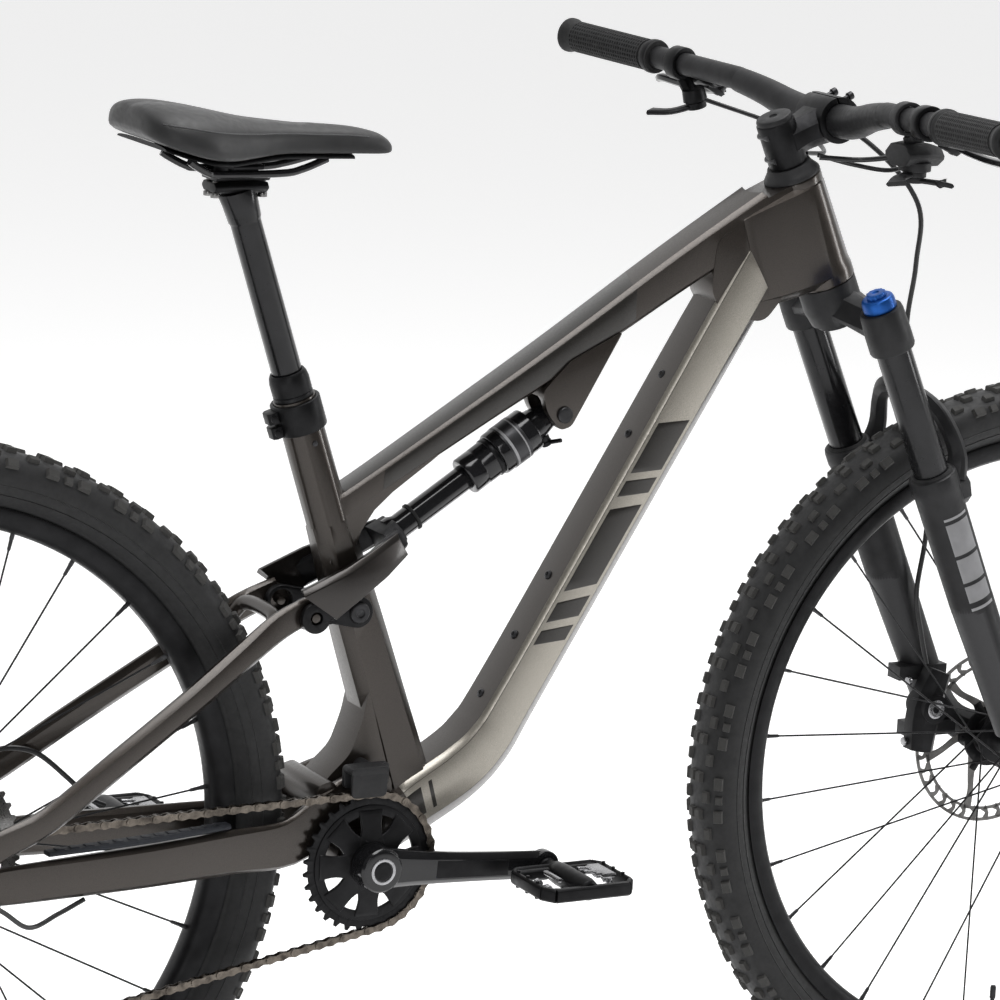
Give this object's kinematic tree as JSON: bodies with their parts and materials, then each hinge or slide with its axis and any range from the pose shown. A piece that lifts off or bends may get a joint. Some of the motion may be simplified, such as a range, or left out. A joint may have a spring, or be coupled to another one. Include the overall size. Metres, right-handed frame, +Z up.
{
  "type": "full suspension mountain bike",
  "caption": "Full-suspension mountain bike with a carbon frame, a rear linkage and air shock, a telescopic fork, disc brakes and a single chainring drivetrain.",
  "frame": {"origin": "on the ground, midway between the axles' ends of the overall box, on the wheels' middle plane", "axes": "+X forward, +Y to the rider's left, +Z up"},
  "size_m": [1.933, 0.7836, 1.0571],
  "materials": {
    "frame_paint": "satin metallic paint over carbon fibre",
    "black_alloy": "black anodised",
    "black_gloss": "gloss black",
    "black_plastic": "matt",
    "rubber_black": "matt",
    "tyre_black": "matt",
    "saddle_cover": "satin synthetic cover",
    "steel": "ground",
    "chain_steel": "oiled nickel plate",
    "blue_alloy": "blue anodised",
    "hose_black": "satin"
  },
  "bodies": {
    "front_frame": {"frame": "frame_paint", "bottom_bracket": "black_alloy", "seat_clamp": "black_alloy", "dropper_outer": "black_alloy", "chain_guide": "black_plastic", "chain": "chain_steel"},
    "seatpost_upper": {"dropper_stanchion": "black_gloss", "saddle_clamp": "black_alloy", "saddle_base": "black_plastic", "saddle_pad": "saddle_cover"},
    "steering": {"fork_upper": "black_alloy", "stem": "black_alloy", "headset_cover": "black_plastic", "handlebar": "black_alloy", "grip_left": "rubber_black", "grip_right": "rubber_black", "brake_body_left": "black_alloy", "brake_body_right": "black_alloy", "shifter_body": "black_plastic", "front_brake_hose": "hose_black", "rear_brake_hose": "hose_black", "shift_housing": "hose_black", "dropper_housing": "hose_black"},
    "fork_dial": {"fork_knob": "blue_alloy"},
    "brake_lever_l": {"brake_lever_left": "black_alloy"},
    "brake_lever_r": {"brake_lever_right": "black_alloy"},
    "dropper_lever": {"dropper_lever": "black_alloy"},
    "shift_thumb": {"shift_thumb_lever": "black_plastic"},
    "shift_trigger": {"shift_trigger": "black_plastic"},
    "fork_lower": {"fork_lowers": "black_alloy", "front_caliper": "black_alloy"},
    "front_wheel": {"front_tyre": "tyre_black", "front_rim": "black_alloy", "front_hub": "black_alloy", "front_rotor": "steel"},
    "swingarm": {"chainstay": "frame_paint", "chainstay_guard": "rubber_black", "rear_hose_tail": "hose_black", "derailleur_housing": "hose_black"},
    "seatstays": {"seatstay": "frame_paint", "rear_caliper": "black_alloy", "derailleur_body": "black_alloy"},
    "rear_wheel": {"rear_tyre": "tyre_black", "rear_rim": "black_alloy", "rear_hub": "black_alloy", "rear_rotor": "steel"},
    "cassette_body": {"cassette": "steel"},
    "cage": {"derailleur_cage": "black_alloy"},
    "guide_pulley": {"guide_pulley": "black_plastic"},
    "tension_pulley": {"tension_pulley": "black_plastic"},
    "rocker": {"rocker_link": "black_alloy"},
    "shock_body": {"shock_can": "black_gloss"},
    "shock_switch": {"shock_lever": "blue_alloy"},
    "shock_shaft": {"shock_shaft_yoke": "black_alloy"},
    "crankset": {"crank_left": "black_alloy", "crank_right": "black_alloy", "chainring": "black_alloy"},
    "pedal_r": {"pedal_right": "black_alloy"},
    "pedal_l": {"pedal_left": "black_alloy"}
  },
  "joints": [
    {"name": "steering_turn", "type": "hinge", "parent": "front_frame", "child": "steering", "pos_m": [0.33163, 0, 0.85298], "axis": [-0.4067, 0, 0.9135], "range_deg": [-60, 60]},
    {"name": "fork_travel", "type": "slide", "parent": "steering", "child": "fork_lower", "axis": [-0.4067, 0, 0.9135], "range_m": [0, 0.124], "stiffness_N_per_m": 6000, "springref_m": -0.02, "deforming": ["front_brake_hose"]},
    {"name": "front_wheel_spin", "type": "hinge", "parent": "fork_lower", "child": "front_wheel", "pos_m": [0.5935, 0, 0.373], "axis": [0, 1, 0], "continuous": true},
    {"name": "fork_dial_turn", "type": "hinge", "parent": "steering", "child": "fork_dial", "pos_m": [0.34711, -0.075, 0.83689], "axis": [-0.4067, 0, 0.9135], "range_deg": [0, 270]},
    {"name": "suspension", "type": "hinge", "parent": "front_frame", "child": "swingarm", "pos_m": [-0.1465, 0, 0.402], "axis": [0, 1, 0], "range_deg": [0, 15.06], "stiffness_Nm_per_rad": 2000, "springref_deg": -1.72, "deforming": ["chain"]},
    {"name": "seatstay_pivot", "type": "hinge", "parent": "swingarm", "child": "seatstays", "pos_m": [-0.5515, 0, 0.352], "axis": [0, -1, 0], "range_deg": [0, 5.21], "deforming": ["rear_hose_tail", "derailleur_housing"]},
    {"name": "rocker_pivot", "type": "hinge", "parent": "front_frame", "child": "rocker", "pos_m": [-0.1655, 0, 0.568], "axis": [0, 1, 0], "range_deg": [0, 66.8]},
    {"name": "shock_eye", "type": "hinge", "parent": "front_frame", "child": "shock_body", "pos_m": [0.0425, 0, 0.7395], "axis": [0, 1, 0], "range_deg": [0, 4.64]},
    {"name": "shock_stroke", "type": "slide", "parent": "shock_body", "child": "shock_shaft", "axis": [0.8377, 0, 0.5461], "range_m": [0, 0.0526]},
    {"name": "shock_switch_turn", "type": "hinge", "parent": "shock_body", "child": "shock_switch", "pos_m": [0.03575, 0, 0.71158], "axis": [0.507, 0, -0.8619], "range_deg": [0, 40]},
    {"name": "rear_wheel_spin", "type": "hinge", "parent": "seatstays", "child": "rear_wheel", "pos_m": [-0.5935, 0, 0.373], "axis": [0, 1, 0], "continuous": true},
    {"name": "cassette_spin", "type": "hinge", "parent": "seatstays", "child": "cassette_body", "pos_m": [-0.5935, 0, 0.373], "axis": [0, 1, 0], "continuous": true},
    {"name": "cage_swing", "type": "hinge", "parent": "seatstays", "child": "cage", "pos_m": [-0.5635, -0.0622, 0.283], "axis": [0, -1, 0], "range_deg": [0, 12.01]},
    {"name": "guide_pulley_spin", "type": "hinge", "parent": "cage", "child": "guide_pulley", "pos_m": [-0.5635, -0.0622, 0.283], "axis": [0, 1, 0], "continuous": true},
    {"name": "tension_pulley_spin", "type": "hinge", "parent": "cage", "child": "tension_pulley", "pos_m": [-0.5475, -0.0622, 0.227], "axis": [0, 1, 0], "continuous": true},
    {"name": "crank_spin", "type": "hinge", "parent": "front_frame", "child": "crankset", "pos_m": [-0.1558, 0, 0.3367], "axis": [0, 1, 0], "continuous": true},
    {"name": "pedal_right_spin", "type": "hinge", "parent": "crankset", "child": "pedal_r", "pos_m": [0.01388, -0.085, 0.32632], "axis": [0, 1, 0], "continuous": true},
    {"name": "pedal_left_spin", "type": "hinge", "parent": "crankset", "child": "pedal_l", "pos_m": [-0.32548, 0.085, 0.34708], "axis": [0, 1, 0], "continuous": true},
    {"name": "seatpost_drop", "type": "slide", "parent": "front_frame", "child": "seatpost_upper", "axis": [-0.3239, 0, 0.9461], "range_m": [-0.14, 0], "stiffness_N_per_m": 300, "springref_m": 0.1},
    {"name": "brake_lever_left_pull", "type": "hinge", "parent": "steering", "child": "brake_lever_l", "pos_m": [0.32728, 0.206, 1.00954], "axis": [0.5101, 0, 0.8601], "range_deg": [0, 14], "stiffness_Nm_per_rad": 0.6, "springref_deg": -8.59},
    {"name": "brake_lever_right_pull", "type": "hinge", "parent": "steering", "child": "brake_lever_r", "pos_m": [0.32728, -0.206, 1.00954], "axis": [-0.5101, 0, -0.8601], "range_deg": [0, 14], "stiffness_Nm_per_rad": 0.6, "springref_deg": -8.59},
    {"name": "dropper_lever_push", "type": "hinge", "parent": "steering", "child": "dropper_lever", "pos_m": [0.30054, 0.206, 0.99668], "axis": [0.3, 0, -0.9539], "range_deg": [0, 16], "stiffness_Nm_per_rad": 0.3, "springref_deg": -5.73},
    {"name": "shift_thumb_push", "type": "hinge", "parent": "steering", "child": "shift_thumb", "pos_m": [0.30424, -0.178, 0.98334], "axis": [0, 0, 1], "range_deg": [0, 16], "stiffness_Nm_per_rad": 0.3, "springref_deg": -5.73},
    {"name": "shift_trigger_pull", "type": "hinge", "parent": "steering", "child": "shift_trigger", "pos_m": [0.30424, -0.178, 0.97634], "axis": [0, 0, -1], "range_deg": [0, 12], "stiffness_Nm_per_rad": 0.3, "springref_deg": -5.73}
  ],
  "couplings": [
    {"joint": "seatstay_pivot", "follows": "suspension", "ratio": 0.34553},
    {"joint": "rocker_pivot", "follows": "suspension", "ratio": 4.4315},
    {"joint": "shock_eye", "follows": "suspension", "ratio": 0.30736},
    {"joint": "shock_stroke", "follows": "suspension", "m_per_rad": 0.19968},
    {"joint": "cage_swing", "follows": "suspension", "ratio": 0.79661},
    {"joint": "cassette_spin", "follows": "crank_spin", "ratio": 2.6667},
    {"joint": "guide_pulley_spin", "follows": "crank_spin", "ratio": -2.9091},
    {"joint": "tension_pulley_spin", "follows": "crank_spin", "ratio": 2.9091}
  ]
}
